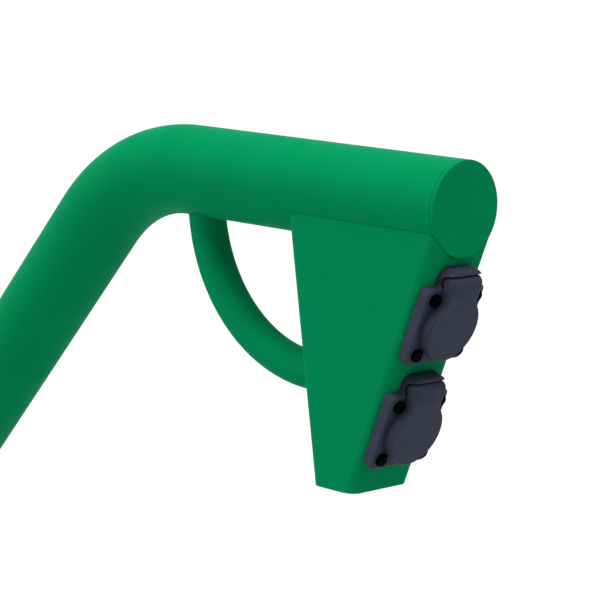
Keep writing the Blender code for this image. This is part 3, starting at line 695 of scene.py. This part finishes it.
bright_steel = new_finish(
    "bright_steel",
    colour=(0.55, 0.55, 0.56),
    second=(0.45, 0.45, 0.46),
    worn_and_highlight=(0.70, 0.70, 0.71),
    rough=0.22,
    grain=1500,
    depth=0.00001,
    # Lighter edge colour: partly wear, partly a painted edge highlight.
    wear_and_highlight=0.5,
    dust=0.0,
    metallic=1.0,
    stretch=(1, 12, 12),
)
for node in ("upper_hinge_pin", "lower_hinge_pin", "upper_lid_spring", "lower_lid_spring"):
    coat(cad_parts[node], bright_steel)


# ---- Flange screws ------------------------------------------------------------------------------------------------
# Black-coated pan-head screws with a cross recess, four to each housing, driven through the flange and the gasket
# into the front of the box.

head_radius = 0.0043
head_height = 0.0030
head_edge = 0.0016
shank_radius = 0.0019
shank_length = 0.0122
cross_half = 0.0019
cross_wing = 0.00042
screw_seat = flange_top + 0.0001

screw = bar("screw", head_radius, head_height, (0, 0, screw_seat + head_height / 2), (0, 0, 0), 48)
shape(screw, "EDGE", lambda a, b: min(a.z, b.z) > screw_seat + head_height - 0.0001)
bpy.ops.mesh.bevel(offset=head_edge, segments=7, affect="EDGES")
shape(screw, "FACE", lambda centre, normal: normal.z < -0.9)
bpy.ops.mesh.inset(thickness=head_radius - shank_radius)
pull(0, 0, -shank_length)
shape(screw, "EDGE", lambda a, b: max(a.z, b.z) < screw_seat - shank_length + 0.0001)
bpy.ops.mesh.bevel(offset=0.0006, segments=2, affect="EDGES")
shaped(screw)
top = screw_seat + head_height
for long, short in ((cross_half, cross_wing), (cross_wing, cross_half)):
    slot = brick("slot", (-long, -short, top - 0.0013), (long, short, top + 0.002))
    shape(slot, "VERT", lambda at: at.z < top)
    bpy.ops.transform.resize(value=(0.6, 0.6, 1))
    shaped(slot)
    cut_with(screw, slot)
smooth(screw)
black_screw = new_finish(
    "black_coated_screw",
    colour=(0.0004, 0.0004, 0.0004),
    second=(0.0006, 0.0006, 0.0006),
    # Lighter edge colour: partly wear, partly a painted edge highlight.
    worn_and_highlight=(0.003, 0.003, 0.003),
    rough=0.42,
    grain=1800,
    depth=0.00001,
    wear_and_highlight=0.4,
    dust=0.0,
    shine=0.01,
)
coat(screw, black_screw)
for side, drop in (("upper", upper_drop), ("lower", lower_drop)):
    for number, (x, y) in enumerate(screw_spots, start=1):
        piece = twin(screw, f"{side}_screw_{number}")
        piece.location = (x, y, 0)
        set_place(piece)
        lay_on_front(piece, drop)
        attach(piece, "arm")
        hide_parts(f"{side}_flange_screw_{number}")
bpy.data.objects.remove(screw)


# ---- Lids ---------------------------------------------------------------------------------------------------------
# A hollow moulding in the same plastic as the housing: a round disc with a hood that runs up over the hinge and ends
# in a barrel on the pin. The barrel is open below for the lug and the spring, and the lid swings up by 110 degrees.
# The disc's rim is nearly sharp and the hood's edges are well rounded.

lid_radius = 0.0221
lid_base = 0.0063
lid_top = hinge_z + barrel_radius
lid_ceiling = 0.0121
lid_wall = 0.0010
rim_edge = 0.0012
hood_edge = 0.0030
hood_half = 0.0145
hood_fillet = 0.0025
knuckle_start = 0.0100
slot_lean = math.radians(10)
open_end = -0.006

fillet_x = hood_half + hood_fillet
fillet_y = math.sqrt((lid_radius + hood_fillet) ** 2 - fillet_x**2)
meeting = math.atan2(fillet_y, fillet_x)
meeting_x, meeting_y = lid_radius * math.cos(meeting), lid_radius * math.sin(meeting)

bpy.ops.object.select_all(action="DESELECT")
bpy.ops.mesh.primitive_circle_add(vertices=160, radius=lid_radius, location=(0, 0, lid_base))
lid = named("upper_flap")
set_place(lid)
shape(lid, "VERT", lambda at: at.x < -0.0001 or at.y > meeting_y - 0.0002)
bpy.ops.mesh.delete(type="VERT")
last = max((vert.co.y, vert.co.x) for vert in shaped(lid).data.vertices)
shape(lid, "VERT", lambda at: abs(at.x - last[1]) < 0.00001 and abs(at.y - last[0]) < 0.00001)
pull(meeting_x - last[1], meeting_y - last[0], 0)
bpy.ops.mesh.spin(steps=8, angle=meeting, center=(fillet_x, fillet_y, lid_base), axis=(0, 0, 1))
pull(0, hinge_y - fillet_y, 0)
pull(-hood_half, 0, 0)
shaped(lid)
finish_with(lid, "MIRROR", use_axis=(True, False, False), merge_threshold=0.0001)
shape(lid, "VERT", everything)
bpy.ops.mesh.edge_face_add()
pull(0, 0, lid_top - lid_base)
tidy_skin(lid)
weights = lid.data.attributes.new("bevel_weight_edge", "FLOAT", "EDGE").data
for edge in lid.data.edges:
    a, b = (lid.data.vertices[index].co for index in edge.vertices)
    if min(a.z, b.z) > lid_top - 0.0001 and min(a.y, b.y) < hinge_y - 0.0001:
        share = min(1, max(0, ((a.y + b.y) / 2 - meeting_y) / (fillet_y - meeting_y)))
        weights[edge.index].value = (rim_edge + share * (hood_edge - rim_edge)) / hood_edge
finish_with(lid, "BEVEL", width=hood_edge, segments=8, limit_method="WEIGHT", use_clamp_overlap=False)

barrel = bar("barrel", barrel_radius, 2 * hood_half, (0, hinge_y, hinge_z), across, 80)
shape(barrel, "EDGE", lambda a, b: abs(a.x - b.x) < 0.0001)
bpy.ops.mesh.bevel(offset=hood_edge, segments=8, affect="EDGES")
shaped(barrel)
join_with(lid, barrel)

hood_end = hinge_y - barrel_radius
bore = lid_radius - lid_wall
side = hood_half - lid_wall
disc_space = bar("disc_space", bore, lid_ceiling - open_end, (0, 0, (lid_ceiling + open_end) / 2), (0, 0, 0), 120)
hood_space = brick("hood_space", (-side, 0, open_end), (side, hood_end, lid_ceiling))
coil_start = hood_end - lid_wall
coil_space = brick("coil_space", (-knuckle_start, coil_start, open_end), (knuckle_start, hinge_y, lid_ceiling))
coil_bore = bar("coil_bore", lug_radius + 0.0004, 2 * knuckle_start, (0, hinge_y, hinge_z), across, 80)
pin_length = 2 * hood_half - lid_wall + 0.006
pin_middle = lid_wall - hood_half + pin_length / 2
pin_bore = bar("pin_bore", pin_bore_radius, pin_length, (pin_middle, hinge_y, hinge_z), across, 24)
cut_with(lid, disc_space, hood_space, coil_space, coil_bore, pin_bore)
slot_start = hinge_y - 0.0004
slot = brick("slot", (-knuckle_start, slot_start, hinge_z - 0.012), (knuckle_start, hinge_y + 0.012, hinge_z + 0.016))
shape(slot, "FACE", everything)
bpy.ops.mesh.bisect(
    plane_co=(0, slot_start, hinge_z),
    plane_no=(0, math.sin(slot_lean), math.cos(slot_lean)),
    use_fill=True,
    clear_outer=True,
)
shaped(slot)
cut_with(lid, slot)
smooth(lid)
coat(lid, cover_plastic)
lower_lid = twin(lid, "lower_flap")
for piece, drop, body in ((lid, upper_drop, "upper_lid"), (lower_lid, lower_drop, "lower_lid")):
    lay_on_front(piece, drop)
    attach(piece, body)
    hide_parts(body)


# ---- Floor and daylight -------------------------------------------------------------------------------------------
# A plain pale floor well below the arm, and even daylight: soft light from the sky, a little stronger from the left,
# with three broad soft lamps from above, the left and the front. The camera sees the sky as white.

floor_height = -0.75

bpy.ops.object.select_all(action="DESELECT")
bpy.ops.mesh.primitive_plane_add(size=90, location=(0, 0, floor_height))
floor = named("floor")
set_place(floor)


def seen_rays(tree):
    """1 for what the camera sees, straight or through gloss or glass, and 0 for the light that things get."""
    paths = add_node(tree, "LightPath").outputs
    seen = paths["Is Camera Ray"]
    for kind in ("Is Glossy Ray", "Is Transmission Ray"):
        seen = add_node(tree, "Math", {0: seen, 1: paths[kind]}, operation="MAXIMUM").outputs[0]
    return seen


pale = bpy.data.materials.new("pale_floor")
pale.use_nodes = True
tree = pale.node_tree
surface = tree.nodes["Principled BSDF"]
tone = blend_colour(tree, seen_rays(tree), (0.52, 0.52, 0.52), (0.9, 0.9, 0.9))
tree.links.new(tone, surface.inputs["Base Color"])
surface.inputs["Roughness"].default_value = 0.9
surface.inputs["Specular IOR Level"].default_value = 0.0
coat(floor, pale)

sky_sides = (-1, -1, 1)
sky_strengths = (0.25, 0.078, 0.218)
world = bpy.data.worlds.new("daylight")
bpy.context.scene.world = world
world.use_nodes = True
tree = world.node_tree
direction = add_node(tree, "TexCoord").outputs["Generated"]
facing = add_node(tree, "VectorMath", {0: direction, 1: sky_sides}, operation="MULTIPLY").outputs["Vector"]
facing = add_node(tree, "VectorMath", {0: facing, 1: (0, 0, 0)}, operation="MAXIMUM").outputs["Vector"]
light = add_node(tree, "VectorMath", {0: facing, 1: sky_strengths}, operation="DOT_PRODUCT").outputs["Value"]
strength = add_node(tree, "Mix", {0: seen_rays(tree), 2: light, 3: 1.0}).outputs[0]
tree.links.new(strength, tree.nodes["Background"].inputs["Strength"])
tree.nodes["Background"].inputs["Color"].default_value = (1, 1, 1, 1)


def soft_lamp(name, towards, strength, softness):
    """A broad distant lamp that shines from one direction."""
    lamp = bpy.data.lights.new(name, "SUN")
    lamp.energy = strength
    lamp.angle = math.radians(softness)
    holder = bpy.data.objects.new(name, lamp)
    holder.rotation_euler = Vector(towards).to_track_quat("Z", "Y").to_euler()
    bpy.context.scene.collection.objects.link(holder)


soft_lamp("overhead_softbox", (0, -0.12, 1), 2.39, 55)
soft_lamp("left_softbox", (-0.68, -0.68, 0.26), 1.08, 50)
soft_lamp("front_softbox", (0.71, 0, 0.71), 0.75, 50)


# ---- Camera -------------------------------------------------------------------------------------------------------
# At the photograph's place: to the front and left of the sockets, looking slightly down through a long lens.

yaw = math.radians(43.99)
pitch = math.radians(9.27)
roll = math.radians(1.99)
ahead = Vector((-math.sin(yaw) * math.cos(pitch), math.cos(yaw) * math.cos(pitch), -math.sin(pitch)))
level = Vector((math.cos(yaw), math.sin(yaw), 0))
upright = level.cross(ahead)
right = math.cos(roll) * level + math.sin(roll) * upright
above = math.cos(roll) * upright - math.sin(roll) * level

lens = bpy.data.cameras.new("camera")
lens.lens = 146.0
lens.sensor_width = 36
camera = bpy.data.objects.new("camera", lens)
camera.matrix_world = Matrix((right, above, -ahead)).transposed().to_4x4()
camera.location = (1.49204, -1.12091, 0.47702)
bpy.context.scene.collection.objects.link(camera)
bpy.context.scene.camera = camera
bpy.context.scene.view_settings.view_transform = "Standard"
